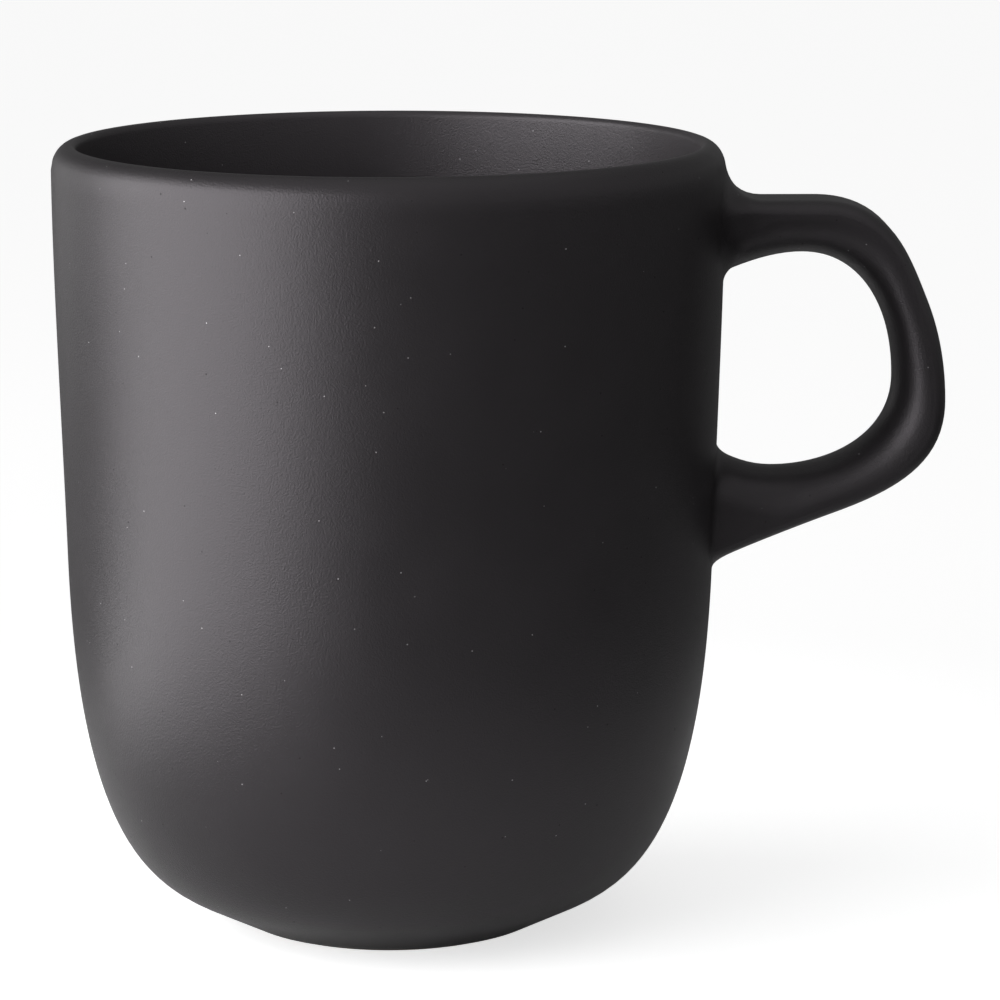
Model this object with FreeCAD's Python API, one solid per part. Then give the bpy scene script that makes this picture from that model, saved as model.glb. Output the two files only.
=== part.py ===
"""A glazed stoneware mug with a luted strap handle.

The mug stands on the XY plane with its axis on Z, and its handle reaches out along +X.
Lengths are millimetres. The sizes below are those of the glazed mug: the clay lies one
thickness of glaze further in.

Each outline is a chain of cubic curves through knots. A knot is (x, z, heading, before,
after): a place, the direction of travel there in degrees from +X towards +Z, and how far
the curve holds that direction before and after it. The clay is always on the right of
the direction of travel, so moving a knot to its left moves the surface outwards.
"""
import FreeCAD, Part
import math
import os

from FreeCAD import Vector

# Cup
HEIGHT = 105.0
BODY_RADIUS = 44.4
LIP_THICKNESS = 3.3
LIP_SHOULDER = 3.4
LIP_INNER_SHOULDER = 1.7
BELT_HEIGHT = 50.0
BELT_RADIUS = 43.05
BELT_LEAN = 1.5
HEEL_RADIUS = 28.5
HEEL_HEIGHT = 4.7
UNDERSIDE_SLOPE = 27.0
WALL_AT_BELT = 3.7
FLOOR_RADIUS = 20.0
FLOOR_HEIGHT = 6.8

# Foot ring, left bare where the mug stands in the kiln
FOOT_RADIUS = 18.8
FOOT_WIDTH = 3.4
FOOT_EDGE_HEIGHT = 0.5
RECESS_HEIGHT = 1.6
RECESS_SLOPE_WIDTH = 1.4
BARE_EDGE_WIDTH = 1.3
BASE_GLAZE_MARGIN = 0.6

# Coats
GLAZE = 0.3
SLIP = 0.6
SLIP_CLEARANCE = 0.02

# Handle
HANDLE_WIDTH = 12.6
OUTER_EDGE_ROUNDING = 1.5
INNER_EDGE_ROUNDING = 3.3
ROOT_DEPTH_X = 41.6
UPPER_FILLET = 3.0
LOWER_FILLET = 1.8
HANDLE_BACK = [
    (ROOT_DEPTH_X, 101.0, -50, 0, 3),
    (49.5, 97.2, 0, 4.5, 3),
    (56.5, 97.2, 0, 3, 9.4),
    (71.2, 84.0, -68, 7.3, 4.5),
    (73.7, 70.5, -90, 4.5, 8.3),
    (59.0, 55.7, -160, 8.5, 5),
    (ROOT_DEPTH_X, 48.6, -154, 5, 0),
]
HANDLE_INSIDE = [
    (ROOT_DEPTH_X, 65.2, -40, 0, 3),
    (51.0, 61.0, 0, 4, 8.7),
    (67.0, 73.5, 90, 7.7, 9.5),
    (54.5, 90.8, 180, 8, 4),
    (ROOT_DEPTH_X, 86.6, 205, 5, 0),
]

# A height between the handle's roots, and the gap at which shapes count as touching
ROOT_SPLIT_HEIGHT = 73.0
TOUCH = 1e-4

LIP_RADIUS = BODY_RADIUS - LIP_THICKNESS / 2


def direction(heading):
    angle = math.radians(heading)
    return Vector(math.cos(angle), 0, math.sin(angle))


def grown(knot, grow):
    """The knot's place, moved to its left by grow."""
    x, z, heading = knot[:3]
    return Vector(x, 0, z) + direction(heading + 90) * grow


def curve(first, second, grow):
    """One cubic edge from a knot to the next."""
    start = grown(first, grow)
    end = grown(second, grow)
    leave = start + direction(first[2]) * first[4]
    arrive = end - direction(second[2]) * second[3]
    cubic = Part.BezierCurve()
    cubic.setPoles([start, leave, arrive, end])
    return cubic.toShape()


def chain(knots, grow):
    return [curve(a, b, grow) for a, b in zip(knots, knots[1:])]


def line(start, end):
    return Part.LineSegment(start, end).toShape()


def path(points):
    return [line(a, b) for a, b in zip(points, points[1:])]


def end_of(edges):
    return edges[-1].Curve.value(edges[-1].LastParameter)


def start_of(edges):
    return edges[0].Curve.value(edges[0].FirstParameter)


def lathe(edges):
    """The solid turned from a closed outline; its seam faces away from the handle."""
    face = Part.Face(Part.Wire(edges))
    solid = face.revolve(Vector(0, 0, 0), Vector(0, 0, 1), 360)
    solid.rotate(Vector(0, 0, 0), Vector(0, 0, 1), 180)
    return solid


# The cup's outlines

def underside_point(radius):
    """A knot on the straight underside, at the given radius."""
    rise = (radius - HEEL_RADIUS) * math.tan(math.radians(UNDERSIDE_SLOPE))
    return (radius, HEEL_HEIGHT + rise, UNDERSIDE_SLOPE - 180, 1, 1)


def side_outline(grow, lowest_radius):
    """Down the outside, from the lip's crest to the underside."""
    return chain([
        (LIP_RADIUS, HEIGHT, 0, 0, 0.9),
        (BODY_RADIUS, HEIGHT - LIP_SHOULDER, -90, 1.9, 15),
        (BELT_RADIUS, BELT_HEIGHT, -90 - BELT_LEAN, 17, 35),
        (HEEL_RADIUS, HEEL_HEIGHT, UNDERSIDE_SLOPE - 180, 6.5, 1),
        underside_point(lowest_radius),
    ], grow)


def inside_outline(grow):
    """From the floor's centre out and up to the lip's crest."""
    return chain([
        (0, FLOOR_HEIGHT, 0, 0, 5),
        (FLOOR_RADIUS, FLOOR_HEIGHT, 0, 5, 13),
        (BELT_RADIUS - WALL_AT_BELT, BELT_HEIGHT, 90 - BELT_LEAN, 29, 17),
        (BODY_RADIUS - LIP_THICKNESS, HEIGHT - LIP_INNER_SHOULDER, 90, 15, 0.9),
        (LIP_RADIUS, HEIGHT, 0, 0.9, 0),
    ], grow)


def foot_outline(start):
    """The bare foot ring and the shallow recess inside it, from the underside to the axis."""
    foot_inner = FOOT_RADIUS - FOOT_WIDTH
    recess_radius = foot_inner - RECESS_SLOPE_WIDTH
    return path([
        start,
        Vector(FOOT_RADIUS, 0, 0),
        Vector(foot_inner, 0, 0),
        Vector(recess_radius, 0, RECESS_HEIGHT),
        Vector(0, 0, RECESS_HEIGHT),
    ])


def foot_start_radius():
    """Where the underside comes down to the foot ring's outer edge."""
    drop = HEEL_HEIGHT - FOOT_EDGE_HEIGHT
    return HEEL_RADIUS - drop / math.tan(math.radians(UNDERSIDE_SLOPE))


def make_cup_body():
    side = side_outline(-GLAZE, foot_start_radius())
    foot = foot_outline(end_of(side))
    inside = inside_outline(-GLAZE)
    axis = [line(end_of(foot), start_of(inside))]
    return lathe(side + foot + axis + inside)


def make_cup_block(grow, lowest_radius):
    """The cup's outer form with nothing hollowed out."""
    side = side_outline(grow, lowest_radius)
    low = end_of(side)
    crest = start_of(side)
    closing = path([low, Vector(0, 0, low.z), Vector(0, 0, crest.z), crest])
    return lathe(side + closing)


# The handle

def touches(edge, shape):
    """Whether the middle of an edge lies on a shape."""
    middle = edge.valueAt((edge.FirstParameter + edge.LastParameter) / 2)
    return Part.Vertex(middle).distToShape(shape)[0] < TOUCH


def make_strap(grow):
    """The whole strap, with both ends buried in the wall."""
    back = chain(HANDLE_BACK, grow)
    inside = chain(HANDLE_INSIDE, grow)
    lower_end = line(end_of(back), start_of(inside))
    upper_end = line(end_of(inside), start_of(back))
    half_width = HANDLE_WIDTH / 2 + grow
    face = Part.Face(Part.Wire(back + [lower_end] + inside + [upper_end]))
    strap = face.extrude(Vector(0, 2 * half_width, 0))
    strap.translate(Vector(0, -half_width, 0))
    for outline, rounding in ((back, OUTER_EDGE_ROUNDING), (inside, INNER_EDGE_ROUNDING)):
        for y in (-half_width, half_width):
            guide = Part.Wire(outline)
            guide.translate(Vector(0, y, 0))
            edges = [edge for edge in strap.Edges if touches(edge, guide)]
            strap = strap.makeFillet(rounding + grow, edges)
    return strap


def is_upper(shape):
    return shape.BoundBox.Center.z > ROOT_SPLIT_HEIGHT


def make_mug_block(grow, lowest_radius):
    """Cup and strap as one solid form, with a concave fillet round each root."""
    block = make_cup_block(grow, lowest_radius)
    strap = make_strap(grow)
    joined = block.fuse(strap)
    for upper, fillet in ((True, UPPER_FILLET), (False, LOWER_FILLET)):
        edges = [
            edge for edge in joined.Edges
            if is_upper(edge) == upper and touches(edge, block) and touches(edge, strap)
        ]
        joined = joined.makeFillet(fillet - grow, edges)
    return joined


# The sub-parts

def cut_strap(clearance):
    """The strap, grown by a clearance, out from the layers of slip that hold it."""
    return make_strap(clearance - GLAZE).cut(make_cup_block(SLIP - GLAZE, FOOT_RADIUS))


def make_slips(clay_block):
    """The layer and the fillet of slip at each root, the upper one first.

    The clearance keeps each fillet's thin edge from running out to nothing.
    """
    cup = make_cup_block(SLIP_CLEARANCE - GLAZE, FOOT_RADIUS)
    slips = clay_block.cut(cup).cut(cut_strap(SLIP_CLEARANCE))
    return sorted(slips.Solids, key=lambda solid: -solid.BoundBox.ZMin)


def make_outer_glaze(clay_block):
    """The coat on the outside of the cup and on the handle, up to the lip's crest."""
    glazed_block = make_mug_block(0, foot_start_radius() + BARE_EDGE_WIDTH)
    inside = Part.makeCylinder(LIP_RADIUS, HEIGHT, Vector(0, 0, BELT_HEIGHT))
    return glazed_block.cut(clay_block).cut(inside)


def make_liner_glaze():
    """The coat poured inside, up to the lip's crest."""
    clay = inside_outline(-GLAZE)
    glaze = inside_outline(0)
    rim = line(end_of(glaze), end_of(clay))
    axis = line(start_of(clay), start_of(glaze))
    return lathe(glaze + [rim] + clay[::-1] + [axis])


def make_base_glaze():
    """The coat in the recess under the floor."""
    radius = FOOT_RADIUS - FOOT_WIDTH - RECESS_SLOPE_WIDTH - BASE_GLAZE_MARGIN
    return Part.makeCylinder(radius, GLAZE, Vector(0, 0, RECESS_HEIGHT - GLAZE))


def main():
    os.makedirs("parts", exist_ok=True)
    clay_block = make_mug_block(-GLAZE, FOOT_RADIUS)
    upper_slip, lower_slip = make_slips(clay_block)
    nodes = {
        "cup_body": make_cup_body(),
        "handle": cut_strap(0),
        "upper_joint_slip": upper_slip,
        "lower_joint_slip": lower_slip,
        "outer_glaze": make_outer_glaze(clay_block),
        "liner_glaze": make_liner_glaze(),
        "base_glaze": make_base_glaze(),
    }
    for name, shape in nodes.items():
        print(name, len(shape.Solids), "solid", round(shape.Volume), "mm3", shape.isValid(), shape.BoundBox)
        shape.exportStep(f"parts/{name}.step")


main()
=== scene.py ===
"""The looks of the glazed stoneware mug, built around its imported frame.

The glaze is one closed coat: a turned cup whose outer wall opens into the handle at two
roots. The clay under it shows only at the bare foot ring. The strap's clay and the slip that
joins it to the cup follow the coat's own rings, a coat's thickness further in.

Shapes are drawn in millimetres and scaled to metres as meshes. An outline is a chain of
cubic curves through knots. A knot is (x, z, heading, before, after): a place, the direction
of travel in degrees from +X towards +Z, and how far the curve holds that direction before
and after it. The clay is always on the right of the direction of travel.
"""

import math

import bmesh
import bpy
import numpy as np
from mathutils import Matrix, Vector


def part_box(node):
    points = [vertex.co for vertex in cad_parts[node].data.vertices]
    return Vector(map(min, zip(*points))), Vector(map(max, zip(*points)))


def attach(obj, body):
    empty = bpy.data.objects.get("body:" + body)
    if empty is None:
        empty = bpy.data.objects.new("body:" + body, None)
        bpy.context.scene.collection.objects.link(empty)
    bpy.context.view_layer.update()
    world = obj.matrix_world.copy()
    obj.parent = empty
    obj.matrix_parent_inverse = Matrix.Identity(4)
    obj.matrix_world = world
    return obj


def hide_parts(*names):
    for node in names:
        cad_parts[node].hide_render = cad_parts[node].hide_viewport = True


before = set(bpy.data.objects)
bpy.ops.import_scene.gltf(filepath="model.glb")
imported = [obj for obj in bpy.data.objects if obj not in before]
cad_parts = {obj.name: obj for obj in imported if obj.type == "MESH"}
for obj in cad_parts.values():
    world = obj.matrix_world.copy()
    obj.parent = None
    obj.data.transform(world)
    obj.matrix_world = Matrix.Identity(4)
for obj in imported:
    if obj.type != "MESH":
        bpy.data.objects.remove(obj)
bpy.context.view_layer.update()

MM = 0.001


def node_box(node):
    """A CAD node's lowest and highest corners, in millimetres."""
    return [np.array(corner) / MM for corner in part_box(node)]


# Sizes that the frame gives, in millimetres
HEIGHT = node_box("outer_glaze")[1][2]
BODY_RADIUS = -node_box("outer_glaze")[0][0]
HANDLE_REACH = node_box("outer_glaze")[1][0]
GLAZE = HEIGHT - node_box("cup_body")[1][2]
HANDLE_WIDTH = 2 * (node_box("handle")[1][1] + GLAZE)
RECESS_HEIGHT = node_box("base_glaze")[1][2]
BASE_GLAZE_RADIUS = node_box("base_glaze")[1][0]

# The cup
LIP_THICKNESS = 3.3
LIP_SHOULDER = 3.4
LIP_INNER_SHOULDER = 0.8
LIP_CREST_INSET = 2.5
LIP_FLARE = 5.5
LIP_RADIUS = BODY_RADIUS - LIP_CREST_INSET
BELT_HEIGHT = 50.0
BELT_RADIUS = 43.05
BELT_LEAN = 1.5
HEEL_RADIUS = 28.5
HEEL_HEIGHT = 4.7
UNDERSIDE_SLOPE = 27.0
WALL_AT_BELT = 3.7
FLOOR_RADIUS = 20.0
FLOOR_HEIGHT = 6.8
FOOT_RADIUS = 18.8
FOOT_WIDTH = 3.4
FOOT_EDGE_HEIGHT = 0.5
FOOT_ROUNDING = 0.3
RECESS_SLOPE_WIDTH = 1.4
BARE_EDGE_WIDTH = 0.2


def underside_point(radius):
    """A knot on the straight underside, at the given radius."""
    rise = (radius - HEEL_RADIUS) * math.tan(math.radians(UNDERSIDE_SLOPE))
    return (radius, HEEL_HEIGHT + rise, UNDERSIDE_SLOPE - 180, 1, 1)


FOOT_START = HEEL_RADIUS - (HEEL_HEIGHT - FOOT_EDGE_HEIGHT) / math.tan(math.radians(UNDERSIDE_SLOPE))
OUTSIDE = [
    (LIP_RADIUS, HEIGHT, 0, 0, 1.3),
    (BODY_RADIUS, HEIGHT - LIP_SHOULDER, -90, 1.9, 15),
    (BELT_RADIUS, BELT_HEIGHT, -90 - BELT_LEAN, 17, 35),
    (HEEL_RADIUS, HEEL_HEIGHT, UNDERSIDE_SLOPE - 180, 6.5, 1),
]
INSIDE = [
    (0, FLOOR_HEIGHT, 0, 0, 5),
    (FLOOR_RADIUS, FLOOR_HEIGHT, 0, 5, 13),
    (BELT_RADIUS - WALL_AT_BELT, BELT_HEIGHT, 90 - BELT_LEAN, 29, 17),
    (BODY_RADIUS - LIP_THICKNESS, HEIGHT - LIP_INNER_SHOULDER, 90 - LIP_FLARE, 15, 0.45),
    (LIP_RADIUS, HEIGHT, 0, 0.45, 0),
]

# The handle, its back drawn from the upper root down and its finger side from the lower root up
ROOT_X = 41.6
HANDLE_BACK = [
    (ROOT_X, 97.5, 0, 0, 5),
    (56.5, 97.5, 0, 5, 9.6),
    (71.2, 84.0, -68, 7.3, 4.5),
    (HANDLE_REACH, 70.5, -90, 4.5, 8.3),
    (59.0, 55.7, -160, 8.5, 5),
    (ROOT_X, 48.6, -154, 5, 0),
]
FINGER_SIDE = [
    (ROOT_X, 65.2, -40, 0, 3),
    (51.0, 61.5, 0, 4, 8.7),
    (66.9, 73.5, 90, 7.5, 9.3),
    (54.5, 90.35, 180, 8, 4),
    (ROOT_X, 86.6, 205, 5, 0),
]
HUB = np.array([54.0, 76.0])

# The strap's section: how deep its roundings go from the back and the finger side, how far
# across they reach, and the flat that is left between them on each side
BACK_ROUNDING = 1.6
BACK_ROUNDING_ACROSS = 3.0
FLAT_BETWEEN_ROUNDINGS = 0.7
FINGER_ROUNDING_ACROSS = 6.0
DEEPEST_ROUNDING = 5.8

# Each root: where its fillet leaves the strap's back and finger side, and the fillet's reach
# along the wall past the strap's back, its sides and its finger side. The hold is the share of
# that reach over which the fillet keeps to the strap's direction and to the wall's.
WALL_X = 44.0
SLIP = 0.8
FILLET_HOLD = 0.55
UPPER_ROOT = {"back_x": 49.4, "finger_x": 45.4, "back": 4.8, "side": 4.8, "finger": 1.2}
LOWER_ROOT = {"back_x": 46.4, "finger_x": 46.0, "back": 1.6, "side": 2.4, "finger": 1.5}

# How many steps: round the cup, along each side of a section, along the strap, across each
# root's web and fillet, along each curve of an outline, and in finding the strap's sections
AROUND = 180
SIDE = 16
STATIONS = 76
WEB_RINGS = 7
FILLET_RINGS = 9
CURVE_STEPS = 400
ROOT_SAMPLES = 60
TURN_SAMPLES = 600

# The lengths of the steps along the cup's profiles
OUTER_LIP_STEP = 0.4
WALL_STEP = 1.5
BASE_STEP = 1.3
INNER_LIP_STEP = 0.25
BOWL_STEP = 1.9

# The heights between which the wall opens into the strap
UPPER_WINDOW = (82.0, 103.0)
LOWER_WINDOW = (44.0, 68.0)


# Outlines

def heading_vector(degrees):
    return np.array([math.cos(math.radians(degrees)), math.sin(math.radians(degrees))])


def cubic(p0, p1, p2, p3, t):
    """A cubic curve's points at the shares t, which is a column."""
    return (1 - t) ** 3 * p0 + 3 * t * (1 - t) ** 2 * p1 + 3 * t * t * (1 - t) * p2 + t ** 3 * p3


def outline(knots, grow=0.0):
    """A dense run of (x, z) points through the knots, moved to its left by grow."""
    places = [np.array(knot[:2], float) + heading_vector(knot[2] + 90) * grow for knot in knots]
    t = np.linspace(0, 1, CURVE_STEPS, endpoint=False)[:, None]
    spans = []
    for first, second, start, end in zip(knots, knots[1:], places, places[1:]):
        leave = start + heading_vector(first[2]) * first[4]
        arrive = end - heading_vector(second[2]) * second[3]
        spans.append(cubic(start, leave, arrive, end, t))
    return np.vstack(spans + [places[-1][None]])


def along(points):
    """The distance to each point along a run."""
    return np.concatenate([[0], np.cumsum(np.linalg.norm(np.diff(points, axis=0), axis=1))])


def resample(points, count):
    """A run's points at count + 1 even distances."""
    distance = along(points)
    where = np.linspace(0, distance[-1], count + 1)
    return np.stack([np.interp(where, distance, column) for column in points.T], axis=1)


def spaced(points, spacing):
    return resample(points, max(1, round(along(points)[-1] / spacing)))


def rounded(points, radius, steps=5):
    """A run of straight lines with its inner corners softened."""
    softened = [points[0]]
    for before, corner, after in zip(points, points[1:], points[2:]):
        into = (before - corner) / np.linalg.norm(before - corner)
        out = (after - corner) / np.linalg.norm(after - corner)
        for share in np.linspace(0, 1, steps):
            bend = (1 - share) ** 2 * into + share ** 2 * out
            softened.append(corner + radius * bend)
    return np.array(softened + [points[-1]])


def radius_at(run, height):
    """The radius of a falling run at a height."""
    return np.interp(-height, -run[:, 1], run[:, 0])


def between(run, top, bottom):
    """The part of a falling run between two heights."""
    inner = run[(run[:, 1] < top) & (run[:, 1] > bottom)]
    ends = np.array([[radius_at(run, height), height] for height in (top, bottom)])
    return np.vstack([ends[:1], inner, ends[1:]])


# Meshes

class Surface:
    """Vertices and faces gathered ring by ring."""

    def __init__(self):
        self.vertices = []
        self.faces = []

    def add(self, points):
        first = len(self.vertices)
        self.vertices.extend(np.asarray(points, float).tolist())
        return list(range(first, len(self.vertices)))

    def bridge(self, ring, other, skip=()):
        """Quads between two closed rings, leaving out the steps in skip."""
        count = len(ring)
        for i in range(count):
            j = (i + 1) % count
            if i not in skip:
                self.faces.append([ring[i], other[i], other[j], ring[j]])

    def bridge_all(self, rings):
        for ring, other in zip(rings, rings[1:]):
            self.bridge(ring, other)

    def fan(self, ring, centre):
        count = len(ring)
        for i in range(count):
            self.faces.append([ring[i], centre, ring[(i + 1) % count]])

    def make(self, name):
        """A smooth-shaded object whose faces all look outwards."""
        mesh = bpy.data.meshes.new(name)
        mesh.from_pydata((np.array(self.vertices) * MM).tolist(), [], self.faces)
        edit = bmesh.new()
        edit.from_mesh(mesh)
        bmesh.ops.recalc_face_normals(edit, faces=edit.faces)
        edit.to_mesh(mesh)
        edit.free()
        mesh.shade_smooth()
        made = bpy.data.objects.new(name, mesh)
        bpy.context.scene.collection.objects.link(made)
        return made


def turned(point):
    """A ring of points round the axis through (radius, height)."""
    angle = np.arange(AROUND) * 2 * math.pi / AROUND
    height = np.full(AROUND, point[1])
    return np.stack([point[0] * np.cos(angle), point[0] * np.sin(angle), height], axis=1)


def lathe(name, run):
    """A solid of revolution whose run starts and ends on the axis."""
    surface = Surface()
    rings = [surface.add(turned(point)) for point in run[1:-1]]
    surface.bridge_all(rings)
    for end, ring in ((run[0], rings[0]), (run[-1], rings[-1])):
        surface.fan(ring, surface.add([[0, 0, end[1]]])[0])
    return surface.make(name)


# The coat's wall

WALL_RUN = outline(OUTSIDE + [underside_point(FOOT_START + BARE_EDGE_WIDTH)])


def wall_rows():
    """The outer profile from the crest down, and each window's first row."""
    heights = [HEIGHT, *reversed(UPPER_WINDOW), *reversed(LOWER_WINDOW), WALL_RUN[-1, 1]]
    spans = [between(WALL_RUN, top, bottom) for top, bottom in zip(heights, heights[1:])]
    spans = [
        spaced(spans[0], OUTER_LIP_STEP),
        resample(spans[1], SIDE),
        spaced(spans[2], WALL_STEP),
        resample(spans[3], SIDE),
        spaced(spans[4], BASE_STEP),
    ]
    rows = np.vstack([spans[0]] + [span[1:] for span in spans[1:]])
    upper_row = len(spans[0]) - 1
    lower_row = upper_row + SIDE + len(spans[2]) - 1
    return rows, upper_row, lower_row


def on_wall(across, height):
    """The wall's point at a distance round it from the handle's mid plane."""
    radius = radius_at(WALL_RUN, height)
    angle = across / BODY_RADIUS
    return np.stack([radius * np.cos(angle), radius * np.sin(angle), height], axis=-1)


def window_ring(rings, first_row, upper):
    """The indices round a window, in the same order as a section of the strap."""
    half = SIDE // 2
    left_to_right = list(range(-half, half))
    down = list(range(first_row, first_row + SIDE))
    last_row = first_row + SIDE
    if upper:
        back = [rings[first_row][k] for k in left_to_right]
        right = [rings[row][half] for row in down]
        finger = [rings[last_row][-k] for k in left_to_right]
        left = [rings[first_row + last_row - row][-half] for row in down]
    else:
        back = [rings[last_row][k] for k in left_to_right]
        right = [rings[first_row + last_row - row][half] for row in down]
        finger = [rings[first_row][-k] for k in left_to_right]
        left = [rings[row][-half] for row in down]
    return back + right + finger + left


# The strap

BACK_RUN = outline(HANDLE_BACK)
FINGER_RUN = outline(FINGER_SIDE)


def first_hit(run, start, way):
    """Where a ray from start first crosses a run."""
    offset = run - start
    side = offset[:, 0] * way[1] - offset[:, 1] * way[0]
    ahead = offset @ way > 0
    crossings = np.flatnonzero((side[:-1] * side[1:] <= 0) & ahead[:-1] & ahead[1:])
    best = crossings[np.argmin(offset[crossings] @ way)]
    share = side[best] / (side[best] - side[best + 1])
    return run[best] + share * (run[best + 1] - run[best])


def facing_points(starts, way):
    """The strap's finger-side and back points ahead of two starts, as one row."""
    way = np.array(way, float)
    runs = (FINGER_RUN, BACK_RUN)
    hits = [first_hit(run, np.array(start, float), way) for run, start in zip(runs, starts)]
    return np.concatenate(hits)


def root_pairs(root, up):
    """Facing points straight above or below the hub's height, from a root to the hub."""
    pairs = []
    for share in np.linspace(0, 1, ROOT_SAMPLES):
        finger_x = root["finger_x"] + share * (HUB[0] - root["finger_x"])
        back_x = root["back_x"] + share * (HUB[0] - root["back_x"])
        pairs.append(facing_points(((finger_x, HUB[1]), (back_x, HUB[1])), (0, up)))
    return pairs


def strap_pairs():
    """Facing points at even steps from the upper root to the lower one."""
    angles = np.linspace(89.5, -89.5, TURN_SAMPLES)
    turn = [facing_points((HUB, HUB), heading_vector(angle)) for angle in angles]
    pairs = np.array(root_pairs(UPPER_ROOT, 1) + turn + root_pairs(LOWER_ROOT, -1)[::-1])
    distance = along((pairs[:, :2] + pairs[:, 2:]) / 2)
    where = np.linspace(0, distance[-1], STATIONS)
    return np.stack([np.interp(where, distance, column) for column in pairs.T], axis=1)


def section_ring(pair):
    """The strap's rounded section between two facing points.

    The ring goes along its back, its +Y side, its finger side and its -Y side.
    Each takes SIDE steps, and each corner is shared by two of them.
    """
    depth = np.linalg.norm(pair[2:] - pair[:2])
    half = HANDLE_WIDTH / 2
    finger_depth = min(depth - BACK_ROUNDING - FLAT_BETWEEN_ROUNDINGS, DEEPEST_ROUNDING)
    corners = []
    for rise, rise_radius, across_radius, sign, first in (
        (depth - BACK_ROUNDING, BACK_ROUNDING, BACK_ROUNDING_ACROSS, 1, 0),
        (finger_depth, finger_depth, FINGER_ROUNDING_ACROSS, 1, 90),
        (finger_depth, finger_depth, FINGER_ROUNDING_ACROSS, -1, 180),
        (depth - BACK_ROUNDING, BACK_ROUNDING, BACK_ROUNDING_ACROSS, -1, 270),
    ):
        angles = np.radians(first + np.linspace(0, 90, SIDE // 2 + 1))
        corners.append(np.stack([
            rise + rise_radius * np.cos(angles),
            sign * (half - across_radius) + across_radius * np.sin(angles),
        ], axis=1))
    ring = []
    for corner, following in zip(corners, corners[1:] + corners[:1]):
        flat = np.linspace(corner[-1], following[0], SIDE // 2 + 1)
        ring += [corner, flat[1:-1]]
    ring = np.roll(np.vstack(ring), SIDE - SIDE // 4, axis=0)
    spine = pair[:2] + ring[:, :1] / depth * (pair[2:] - pair[:2])
    return np.stack([spine[:, 0], ring[:, 1], spine[:, 1]], axis=1)


def root_rings(root, upper, strap_ring, next_ring, window):
    """Rings from the strap's end out along its fillet and across the wall to the window."""
    way = (0, 1) if upper else (0, -1)
    start = (WALL_X, HUB[1])
    corner = section_ring(facing_points((start, start), way))
    tangent = np.roll(corner, -1, axis=0) - np.roll(corner, 1, axis=0)
    normal = np.stack([tangent[:, 2], -tangent[:, 1]], axis=1)
    normal /= np.linalg.norm(normal, axis=1)[:, None]
    if np.sum(normal * (corner[:, 1:] - corner[:, 1:].mean(axis=0))) < 0:
        normal = -normal
    towards_back = normal[:, 1] * way[1]
    reach = (
        root["back"] * np.maximum(towards_back, 0) ** 2
        + root["finger"] * np.minimum(towards_back, 0) ** 2
        + root["side"] * normal[:, 0] ** 2
    )
    foot = corner[:, 1:] + normal * reach[:, None]
    foot_on_wall = on_wall(foot[:, 0], foot[:, 1])
    corner_on_wall = on_wall(corner[:, 1], corner[:, 2])
    small_share = 0.02
    beside = foot + small_share * (corner[:, 1:] - foot)
    along_wall = (on_wall(beside[:, 0], beside[:, 1]) - foot_on_wall) / small_share
    inward = strap_ring - next_ring
    inward /= np.linalg.norm(inward, axis=1)[:, None]
    gap = np.linalg.norm(corner_on_wall - strap_ring, axis=1)
    hold = gap - (1 - FILLET_HOLD) * np.minimum(reach, gap)
    leave = strap_ring + inward * hold[:, None]
    arrive = foot_on_wall + FILLET_HOLD * along_wall
    rings = []
    for share in np.linspace(0, 1, FILLET_RINGS + 1)[1:]:
        rings.append(cubic(strap_ring, leave, arrive, foot_on_wall, share))
    edge = np.stack([np.arctan2(window[:, 1], window[:, 0]) * BODY_RADIUS, window[:, 2]], axis=1)
    for share in np.linspace(0, 1, WEB_RINGS + 1)[1:-1]:
        spot = foot + share * (edge - foot)
        rings.append(on_wall(spot[:, 0], spot[:, 1]))
    return rings


def inside_rows():
    """The inner profile from beside the crest down, finely over the lip, to near the axis."""
    lip = spaced(outline(INSIDE[2:])[::-1], INNER_LIP_STEP)[1:]
    lip = lip[lip[:, 1] > HEIGHT - 2 * LIP_INNER_SHOULDER]
    falling = outline(INSIDE)[::-1]
    bowl = spaced(falling[falling[:, 1] < lip[-1, 1]], BOWL_STEP)
    return np.vstack([lip, bowl[1:-1]])


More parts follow.
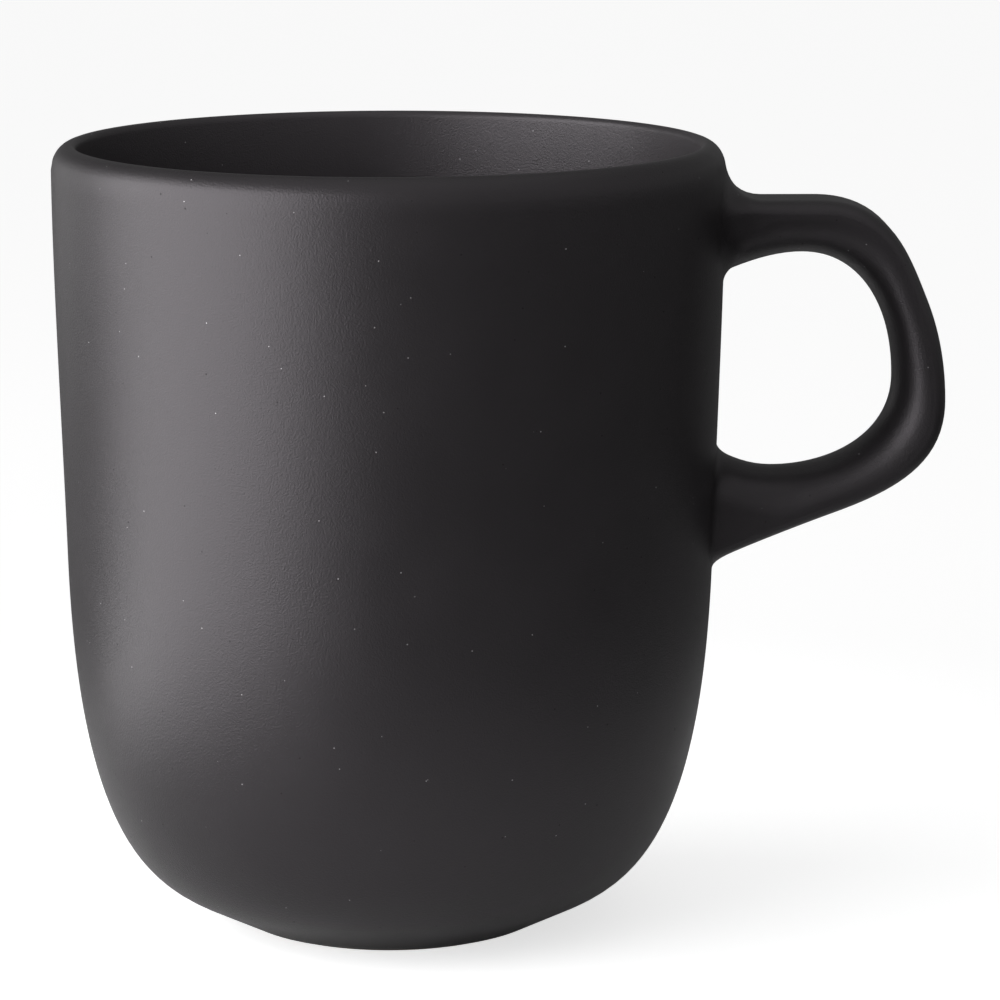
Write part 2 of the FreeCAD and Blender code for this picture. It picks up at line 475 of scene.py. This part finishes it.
def make_coat():
    """The whole glaze: outside, handle, lip and inside, thickened inwards to a closed coat.

    The clay's rings under it come too: those along the strap, and those out along each fillet.
    """
    surface = Surface()
    rows, upper_row, lower_row = wall_rows()
    rings = [surface.add(turned(row)) for row in rows]
    hole = {k % AROUND for k in range(-(SIDE // 2), SIDE // 2)}
    for row, (ring, other) in enumerate(zip(rings, rings[1:])):
        in_window = 0 <= row - upper_row < SIDE or 0 <= row - lower_row < SIDE
        surface.bridge(ring, other, hole if in_window else ())

    strap = [section_ring(pair) for pair in strap_pairs()]
    strap_rings = [surface.add(ring) for ring in strap]
    surface.bridge_all(strap_rings)
    fillets = []
    for root, upper, first_row, end, step in (
        (UPPER_ROOT, True, upper_row, 0, 1),
        (LOWER_ROOT, False, lower_row, -1, -1),
    ):
        window = window_ring(rings, first_row, upper)
        window_points = np.array(surface.vertices)[window]
        joining = root_rings(root, upper, strap[end], strap[end + step], window_points)
        joining = [surface.add(ring) for ring in joining]
        surface.bridge_all([strap_rings[end]] + joining + [window])
        fillets.append([strap_rings[end]] + joining[:FILLET_RINGS])

    outside_faces = len(surface.faces)
    inside_rings = [rings[0]] + [surface.add(turned(point)) for point in inside_rows()]
    surface.bridge_all(inside_rings)
    surface.fan(inside_rings[-1], surface.add([[0, 0, FLOOR_HEIGHT]])[0])
    coat = surface.make("glaze_coat")
    for material in (glaze, liner):
        coat.data.materials.append(material)
    # The inside faces take the liner, whose colour is painted lighter to stand in for light inside
    # the cup
    for polygon in coat.data.polygons[outside_faces:]:
        polygon.material_index = 1
    under = np.array([(v.co / MM - v.normal * GLAZE)[:] for v in coat.data.vertices])
    shell = coat.modifiers.new("coat_thickness", "SOLIDIFY")
    shell.thickness = GLAZE * MM
    shell.offset = -1
    shell.use_even_offset = True
    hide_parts("outer_glaze", "liner_glaze")
    under_strap = [under[ring] for ring in strap_rings]
    under_fillets = [[under[ring] for ring in fillet] for fillet in fillets]
    return coat, under_strap, under_fillets


# The clay under the coat

def make_clay_cup():
    """The cup's clay, bare on its foot ring."""
    side = spaced(outline(OUTSIDE + [underside_point(FOOT_START)], -GLAZE), WALL_STEP)
    inside = spaced(outline(INSIDE, -GLAZE), BOWL_STEP)
    foot_inner = FOOT_RADIUS - FOOT_WIDTH
    foot = rounded(np.array([
        side[-1],
        (FOOT_RADIUS, 0),
        (foot_inner, 0),
        (foot_inner - RECESS_SLOPE_WIDTH, RECESS_HEIGHT),
        (0, RECESS_HEIGHT),
    ]), FOOT_ROUNDING)
    cup = lathe("clay_cup", np.vstack([inside, side[1:], foot[1:]]))
    cup.data.materials.append(clay)
    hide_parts("cup_body")
    return cup


def strap_end(up):
    """The clay strap's end section, a layer of slip from the cup and a coat's thickness in."""
    start = (WALL_X + SLIP, HUB[1])
    ring = section_ring(facing_points((start, start), (0, up)))
    middle = ring.mean(axis=0)
    offset = ring - middle
    offset[:, 1:] *= 1 - GLAZE / np.abs(offset[:, 1:]).max(axis=0)
    return middle + offset


def closed_loft(name, rings, material, node):
    """A closed piece through rings, with a fan across each end."""
    surface = Surface()
    added = [surface.add(ring) for ring in rings]
    surface.bridge_all(added)
    for ring, indices in ((rings[0], added[0]), (rings[-1], added[-1])):
        surface.fan(indices, surface.add([ring.mean(axis=0)])[0])
    piece = surface.make(name)
    piece.data.materials.append(material)
    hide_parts(node)
    return piece


def make_handle_and_slips(strap, fillets):
    """The clay strap and the slip that fills each root round its end."""
    ends = [strap_end(1), strap_end(-1)]
    pieces = [closed_loft("clay_handle", [ends[0]] + strap + [ends[1]], clay, "handle")]
    for name, end, fillet in zip(("upper_joint_slip", "lower_joint_slip"), ends, fillets):
        pieces.append(closed_loft(name + "_fill", [end] + fillet, slip, name))
    return pieces


def make_base_glaze():
    """The patch of glaze in the recess, with a soft edge."""
    low = RECESS_HEIGHT - GLAZE
    edge_rounding = 0.45 * GLAZE
    run = rounded(np.array([
        (0, RECESS_HEIGHT),
        (BASE_GLAZE_RADIUS, RECESS_HEIGHT),
        (BASE_GLAZE_RADIUS, low),
        (0, low),
    ]), edge_rounding)
    patch = lathe("base_glaze_patch", run)
    patch.data.materials.append(glaze)
    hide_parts("base_glaze")
    return patch


# Materials, with sizes and depths in millimetres

MOTTLE_SIZE = 9
MOTTLE_LOW = 0.3
MOTTLE_HIGH = 0.7
GRAIN_SIZE = 0.24
GRAIN_DEPTH = 0.05
SWELL_SIZE = 7
SWELL_DEPTH = 0.02
FLECK_SPACING = 2.6
FLECK_RADIUS = 0.08
FLECK_COLOUR = (0.36, 0.35, 0.36)
PIT_SPACING = 2.7
PIT_RADIUS = 0.12
PIT_ROUGHNESS = (0.9, 0.9, 0.9)
GLAZE_TINT = (1, 0.935, 0.995, 1)
SAND_SIZE = 0.5
SAND_DEPTH = 0.03
CLAY_ROUGHNESS = 0.85


def new_material(name):
    material = bpy.data.materials.new(name)
    material.use_nodes = True
    nodes = material.node_tree.nodes
    return material, nodes, material.node_tree.links, nodes["Principled BSDF"]


def noise(nodes, links, where, size_mm, detail=2.0, roughness=0.5):
    """A noise texture whose features are about size_mm across."""
    texture = nodes.new("ShaderNodeTexNoise")
    texture.inputs["Scale"].default_value = 1 / (size_mm * MM)
    texture.inputs["Detail"].default_value = detail
    texture.inputs["Roughness"].default_value = roughness
    links.new(where, texture.inputs["Vector"])
    return texture.outputs["Fac"]


def ramp(nodes, links, value, stops):
    """A colour ramp from (position, grey or colour) stops."""
    made = nodes.new("ShaderNodeValToRGB")
    elements = made.color_ramp.elements
    while len(elements) < len(stops):
        elements.new(0.5)
    for element, (position, colour) in zip(elements, stops):
        element.position = position
        element.color = (*colour, 1) if isinstance(colour, tuple) else (colour, colour, colour, 1)
    links.new(value, made.inputs["Fac"])
    return made.outputs["Color"]


def math_node(nodes, links, operation, first, second):
    made = nodes.new("ShaderNodeMath")
    made.operation = operation
    for socket, value in zip(made.inputs, (first, second)):
        if isinstance(value, (int, float)):
            socket.default_value = value
        else:
            links.new(value, socket)
    return made.outputs[0]


def bump(nodes, links, height, depth_mm, normal=None):
    """A bump whose full range is depth_mm deep."""
    made = nodes.new("ShaderNodeBump")
    made.inputs["Strength"].default_value = 1
    made.inputs["Distance"].default_value = depth_mm * MM
    links.new(height, made.inputs["Height"])
    if normal is not None:
        links.new(normal, made.inputs["Normal"])
    return made.outputs["Normal"]


def dots(nodes, links, where, spacing_mm, radius_mm):
    """1 in scattered dots of a radius, about one to each cube of the spacing, and 0 elsewhere."""
    cells = nodes.new("ShaderNodeTexVoronoi")
    cells.inputs["Scale"].default_value = 1 / (spacing_mm * MM)
    links.new(where, cells.inputs["Vector"])
    return math_node(nodes, links, "LESS_THAN", cells.outputs["Distance"], radius_mm / spacing_mm)


def mixed(nodes, links, share, value, colour):
    """The value, with the colour instead of it where share is 1."""
    made = nodes.new("ShaderNodeMixRGB")
    made.inputs["Color2"].default_value = (*colour, 1)
    links.new(share, made.inputs["Fac"])
    links.new(value, made.inputs["Color1"])
    return made.outputs["Color"]


def glaze_colour(level):
    """Charcoal with a slight violet warmth."""
    return (level, 0.9 * level, 0.98 * level)


def make_glaze_material(name, darkest, lightest, smoothest, roughest):
    """A satin glaze: mottled, with a sprayed grain, a slight swell, pale flecks and pinholes."""
    material, nodes, links, shader = new_material(name)
    where = nodes.new("ShaderNodeTexCoord").outputs["Object"]
    mottle = noise(nodes, links, where, MOTTLE_SIZE, detail=3)
    tones = [(MOTTLE_LOW, glaze_colour(darkest)), (MOTTLE_HIGH, glaze_colour(lightest))]
    tone = ramp(nodes, links, mottle, tones)
    flecks = dots(nodes, links, where, FLECK_SPACING, FLECK_RADIUS)
    links.new(mixed(nodes, links, flecks, tone, FLECK_COLOUR), shader.inputs["Base Color"])
    gloss = ramp(nodes, links, mottle, [(MOTTLE_LOW, smoothest), (MOTTLE_HIGH, roughest)])
    pits = dots(nodes, links, where, PIT_SPACING, PIT_RADIUS)
    links.new(mixed(nodes, links, pits, gloss, PIT_ROUGHNESS), shader.inputs["Roughness"])
    shader.inputs["Specular Tint"].default_value = GLAZE_TINT
    grain = noise(nodes, links, where, GRAIN_SIZE, detail=3, roughness=0.6)
    swell = noise(nodes, links, where, SWELL_SIZE, detail=1)
    swollen = bump(nodes, links, swell, SWELL_DEPTH)
    links.new(bump(nodes, links, grain, GRAIN_DEPTH, swollen), shader.inputs["Normal"])
    return material


def make_clay_material(name, colour):
    """Fired clay with a fine sandy surface."""
    material, nodes, links, shader = new_material(name)
    where = nodes.new("ShaderNodeTexCoord").outputs["Object"]
    darker = tuple(0.8 * channel for channel in colour)
    sand = noise(nodes, links, where, SAND_SIZE, detail=4, roughness=0.7)
    tone = ramp(nodes, links, sand, [(0.35, darker), (0.65, colour)])
    links.new(tone, shader.inputs["Base Color"])
    shader.inputs["Roughness"].default_value = CLAY_ROUGHNESS
    links.new(bump(nodes, links, sand, SAND_DEPTH), shader.inputs["Normal"])
    return material


# The studio, in metres

MIDDLE = Vector((0, 0, HEIGHT / 2 * MM))
CARD = Vector((-0.31, -0.19, 0.002))
FLOOR_HALF = 30.0
NEAR_FLOOR = 0.06
FAR_FLOOR = 0.2
# The floor's colour near the mug and far from it: painted light, standing in for the light falling
# off across the floor
FLOOR_PAINTED_LIGHT_POOL = (0.76, 0.16)
FLOOR_GLOW = (0.68, 0.87)
FLOOR_ROUGHNESS = 0.9
BACKDROP_SHOWN = 0.92
BACKDROP_FRONT = -0.3
BACKDROP_REAR = 0.7
BACKDROP_LIGHT = (0.48, 0.15)
CAMERA_DISTANCE = 0.6055
CAMERA_ELEVATION = 10.86
CAMERA_PIVOT = Vector((0, 0, 0.0531))
CAMERA_TARGET = Vector((0.01465, 0.0, 0.0569))
CAMERA_LENS = 162.8
CAMERA_SENSOR = 36


def around(azimuth, elevation, distance):
    """A spot round the middle of the mug: azimuth 0 is in front, and -90 is at the left."""
    turn, rise = math.radians(azimuth), math.radians(elevation)
    flat = math.cos(rise)
    way = Vector((math.sin(turn) * flat, -math.cos(turn) * flat, math.sin(rise)))
    return MIDDLE + way * distance


def softbox(name, location, facing, size, radiance):
    """A soft rectangular light that faces a point, unseen by the camera."""
    data = bpy.data.lights.new(name, "AREA")
    data.shape = "RECTANGLE"
    data.size, data.size_y = size
    data.energy = radiance * math.pi * data.size * data.size_y
    light = bpy.data.objects.new(name, data)
    light.location = location
    light.rotation_euler = (facing - location).to_track_quat("-Z", "Y").to_euler()
    light.visible_camera = False
    bpy.context.scene.collection.objects.link(light)


def make_lights():
    """A large key at the left, a weak one behind it, a card on the floor and a weak top light."""
    for name, location, facing, size, radiance in (
        ("key", around(-68, 11, 0.45), MIDDLE, (0.76, 0.5), 3.9),
        ("back", around(-132, 4, 0.5), MIDDLE, (0.3, 0.25), 0.65),
        ("card", CARD, CARD + Vector((0, 0, 1)), (0.4, 0.46), 3.2),
        ("top", around(0, 89, 0.9), MIDDLE, (1.2, 1.2), 0.15),
    ):
        softbox(name, location, facing, size, radiance)


def camera_only(nodes, links, level, base=0.0):
    """A strength of level for what the camera sees directly, and base for the light it gives."""
    seen = nodes.new("ShaderNodeLightPath").outputs["Is Camera Ray"]
    unseen = math_node(nodes, links, "SUBTRACT", 1, seen)
    shown = math_node(nodes, links, "MULTIPLY", seen, level)
    given = math_node(nodes, links, "MULTIPLY", unseen, base)
    return math_node(nodes, links, "ADD", shown, given)


def map_range(nodes, links, value, start, end, levels):
    """A value that goes from the first level at start to the second at end."""
    made = nodes.new("ShaderNodeMapRange")
    links.new(value, made.inputs["Value"])
    names = ("From Min", "From Max", "To Min", "To Max")
    for name, number in zip(names, (start, end, *levels)):
        made.inputs[name].default_value = number
    return made


def by_distance(nodes, links, levels):
    """A value that goes smoothly from one level round the mug to another away from it."""
    length = nodes.new("ShaderNodeVectorMath")
    length.operation = "LENGTH"
    links.new(nodes.new("ShaderNodeTexCoord").outputs["Object"], length.inputs[0])
    made = map_range(nodes, links, length.outputs["Value"], NEAR_FLOOR, FAR_FLOOR, levels)
    made.interpolation_type = "SMOOTHSTEP"
    return made.outputs["Result"]


def make_floor():
    """A floor whose colour is a painted pool of light, pale round the mug and dark far away. It
    gives little light back from far away, as in a dark studio.
    """
    mesh = bpy.data.meshes.new("floor")
    corners = [(-1, -1), (1, -1), (1, 1), (-1, 1)]
    mesh.from_pydata([(x * FLOOR_HALF, y * FLOOR_HALF, 0) for x, y in corners], [], [(0, 1, 2, 3)])
    floor = bpy.data.objects.new("floor", mesh)
    bpy.context.scene.collection.objects.link(floor)
    material, nodes, links, shader = new_material("floor_white")
    # Painted pool of light: the floor's colour darkens with distance from the mug
    links.new(by_distance(nodes, links, FLOOR_PAINTED_LIGHT_POOL), shader.inputs["Base Color"])
    shader.inputs["Roughness"].default_value = FLOOR_ROUGHNESS
    shader.inputs["Emission Color"].default_value = (1, 1, 1, 1)
    glow = camera_only(nodes, links, by_distance(nodes, links, FLOOR_GLOW))
    links.new(glow, shader.inputs["Emission Strength"])
    mesh.materials.append(material)


def make_world():
    """White where the camera looks past the mug, and dimmer as a light, most so behind it."""
    world = bpy.data.worlds.new("studio")
    world.use_nodes = True
    bpy.context.scene.world = world
    nodes = world.node_tree.nodes
    links = world.node_tree.links
    background = nodes["Background"]
    direction = nodes.new("ShaderNodeSeparateXYZ")
    links.new(nodes.new("ShaderNodeTexCoord").outputs["Generated"], direction.inputs["Vector"])
    depth = direction.outputs["Y"]
    light = map_range(nodes, links, depth, BACKDROP_FRONT, BACKDROP_REAR, BACKDROP_LIGHT)
    strength = camera_only(nodes, links, BACKDROP_SHOWN, light.outputs["Result"])
    links.new(strength, background.inputs["Strength"])
    background.inputs["Color"].default_value = (1, 1, 1, 1)


def make_camera():
    """The view from the front and a little above, through a long lens."""
    rise = math.radians(CAMERA_ELEVATION)
    data = bpy.data.cameras.new("camera")
    data.lens = CAMERA_LENS
    data.sensor_width = CAMERA_SENSOR
    camera = bpy.data.objects.new("camera", data)
    way = Vector((0, -math.cos(rise), math.sin(rise)))
    camera.location = CAMERA_PIVOT + CAMERA_DISTANCE * way
    camera.rotation_mode = "QUATERNION"
    camera.rotation_quaternion = (CAMERA_TARGET - camera.location).to_track_quat("-Z", "Y")
    bpy.context.scene.collection.objects.link(camera)
    bpy.context.scene.camera = camera


glaze = make_glaze_material(
    "charcoal_glaze", darkest=0.0120, lightest=0.0138, smoothest=0.34, roughest=0.37)
# The liner is a separate, slightly rougher glaze; its colour, about twice the outer glaze's, is
# painted lighter to stand in for light inside the cup
liner = make_glaze_material(
    "charcoal_liner_painted_lighter", darkest=0.0250, lightest=0.0270, smoothest=0.36, roughest=0.39)
clay = make_clay_material("fired_clay", (0.26, 0.22, 0.18))
slip = make_clay_material("fired_slip", (0.23, 0.20, 0.17))

cup = make_clay_cup()
patch = make_base_glaze()
coat, strap, fillets = make_coat()
for piece in [coat, cup, patch] + make_handle_and_slips(strap, fillets):
    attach(piece, "root")

make_floor()
make_world()
make_camera()
make_lights()
bpy.context.scene.view_settings.view_transform = "Standard"
